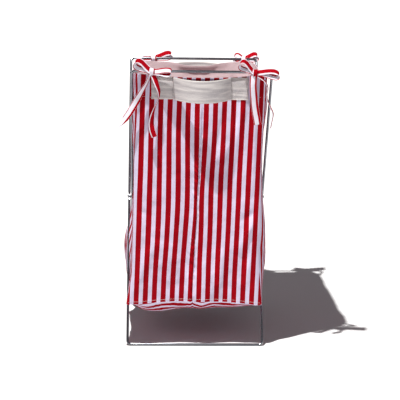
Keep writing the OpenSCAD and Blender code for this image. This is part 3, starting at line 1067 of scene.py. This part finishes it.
# Tails run down from the knot: x, y, z and the turn of the tape's width. Then width, face and end.
make_tails("front_left", "bag_front", [
    ([(-111, -187, 622, 65), (-118, -191, 606, 60), (-128, -190, 588, 40), (-138, -187, 569, 8),
      (-150, -186, 548, -12), (-163, -186, 528, -22), (-179, -186, 506, -35)], 15.5, True, "point"),
    ([(-104, -188, 622, 20), (-97, -191, 604, 30), (-91, -190, 585, 60), (-93, -188, 568, 82),
      (-102, -186, 546, 66), (-107, -185, 522, 30), (-106, -185, 502, 5), (-100, -186, 485, -5)],
     13, False, "square")])
make_tails("front_right", "bag_front", [
    ([(117, -189, 624, 5), (116, -192, 602, 5), (118, -191, 580, 2), (121, -189, 556, -5),
      (125, -187, 534, -8), (128.5, -186, 515, -10)], 16.5, True, "square"),
    ([(127, -188, 622, 60), (142, -189, 611, 72), (149, -187, 596, 76), (147, -186, 577, 78),
      (154, -186, 558, 76), (162, -186, 540, 74), (160, -186, 523, 76), (157, -186, 507, 74)],
     11, False, "square")])
make_tails("back_left", "bag_back", [
    ([(-101, 187, 622, 10), (-98, 190, 598, 0), (-94, 188, 560, -10), (-90, 186, 520, -5)],
     14, False, "square"),
    ([(-107, 187, 622, 20), (-116, 190, 602, 10), (-126, 188, 572, -10), (-134, 186, 544, 20)],
     14, True, "point")])
make_tails("back_right", "bag_back", [
    ([(118, 187, 622, -10), (120, 190, 596, 0), (121, 188, 556, 10), (117, 186, 514, 5)],
     14, False, "square"),
    ([(126, 187, 622, -20), (136, 190, 604, -30), (143, 188, 574, -10), (148, 186, 548, -30)],
     14, True, "square")])

# ---------------- metal

ENDS, SIDES = ("front", "back"), ("left", "right")
WIRES = [f"{end}_{level}_rail" for end in ENDS for level in ("top", "bottom")]
WIRES += [f"{end}_loop_{side_name}_leg" for end in ENDS for side_name in SIDES]
FITTINGS = [f"{side_name}_{part}" for side_name in SIDES for part in ("rivet", "spacer", "washer")]
for material, names in ((chrome, WIRES), (steel, FITTINGS)):
    for node_name in names:
        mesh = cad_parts[node_name].data
        mesh.materials.clear()
        mesh.materials.append(material)

# ---------------- floor, light and camera

FLOOR_HALF = 60.0
KEY_PLACE = (-0.263, -0.462, 1.75)
KEY_POWER = 50.0
KEY_RADIUS = 0.012
KEY_COLOUR = (1.0, 0.985, 0.965)
FILL = 0.24
FILL_COLOUR = (1.0, 0.91, 0.97, 1.0)
FLOOR_GREYS = ((0.54, 0.54, 0.54), (0.51, 0.51, 0.51))
CAMERA_PLACE = (-0.107, -2.993, 0.887)
CAMERA_TURN = (2.24, 10.95, 0.85)   # degrees to the right, down and rolled
CAMERA_LENS = 114.9


def make_floor():
    m = Nodes("studio_floor")
    x, y, _ = m.split(m.place())
    paint = m.noise(m.join(x, y), 3.0)
    m.set(Base_Color=m.mix(paint, *FLOOR_GREYS), Roughness=0.9)
    mesh = bpy.data.meshes.new("studio_floor")
    corners = [(a * FLOOR_HALF, b * FLOOR_HALF, 0) for a, b in ((-1, -1), (1, -1), (1, 1), (-1, 1))]
    mesh.from_pydata(corners, [], [(0, 1, 2, 3)])
    mesh.materials.append(m.material)
    add_object("studio_floor", mesh)


def make_world():
    """Even pale surroundings: white to the eye, and a dimmer fill for the object."""
    world = bpy.data.worlds.new("studio")
    n = Tree(world)
    fill = n.node("Background", {"Color": FILL_COLOUR, "Strength": FILL})
    seen = n.node("Background", {"Color": (1.0, 1.0, 1.0, 1.0)})
    eye = n.node("LightPath", output="Is Camera Ray")
    n.node("OutputWorld", {"Surface": n.node("MixShader", {0: eye, 1: fill, 2: seen})})
    bpy.context.scene.world = world


def make_key():
    """A small lamp up to the left. Its light doesn't fade with distance, so the floor stays white."""
    data = bpy.data.lights.new("key", "POINT")
    data.energy = KEY_POWER
    data.shadow_soft_size = KEY_RADIUS
    data.color = KEY_COLOUR
    n = Tree(data)
    constant = n.node("LightFalloff", {"Strength": 1.0}, "Constant")
    away = n.node("LightPath", output="Ray Length")
    strength = n.node("Math", {0: constant, 1: away}, operation="MULTIPLY")
    n.node("OutputLight", {"Surface": n.node("Emission", {"Strength": strength})})
    add_object("key", data).location = KEY_PLACE


def make_camera():
    yaw, pitch, roll = (math.radians(turn) for turn in CAMERA_TURN)
    ahead = Vector((math.sin(yaw) * math.cos(pitch), math.cos(yaw) * math.cos(pitch), -math.sin(pitch)))
    right = Vector((math.cos(yaw), -math.sin(yaw), 0))
    up = right.cross(ahead)
    cam_x = right * math.cos(roll) + up * math.sin(roll)
    cam_y = up * math.cos(roll) - right * math.sin(roll)
    data = bpy.data.cameras.new("camera")
    data.sensor_width = 36.0
    data.lens = CAMERA_LENS
    data.clip_start, data.clip_end = 0.05, 200.0
    camera = add_object("camera", data)
    camera.matrix_world = Matrix((cam_x, cam_y, -ahead)).transposed().to_4x4()
    camera.location = CAMERA_PLACE
    bpy.context.scene.camera = camera


make_floor()
make_world()
make_key()
make_camera()
bpy.context.scene.view_settings.view_transform = "Standard"
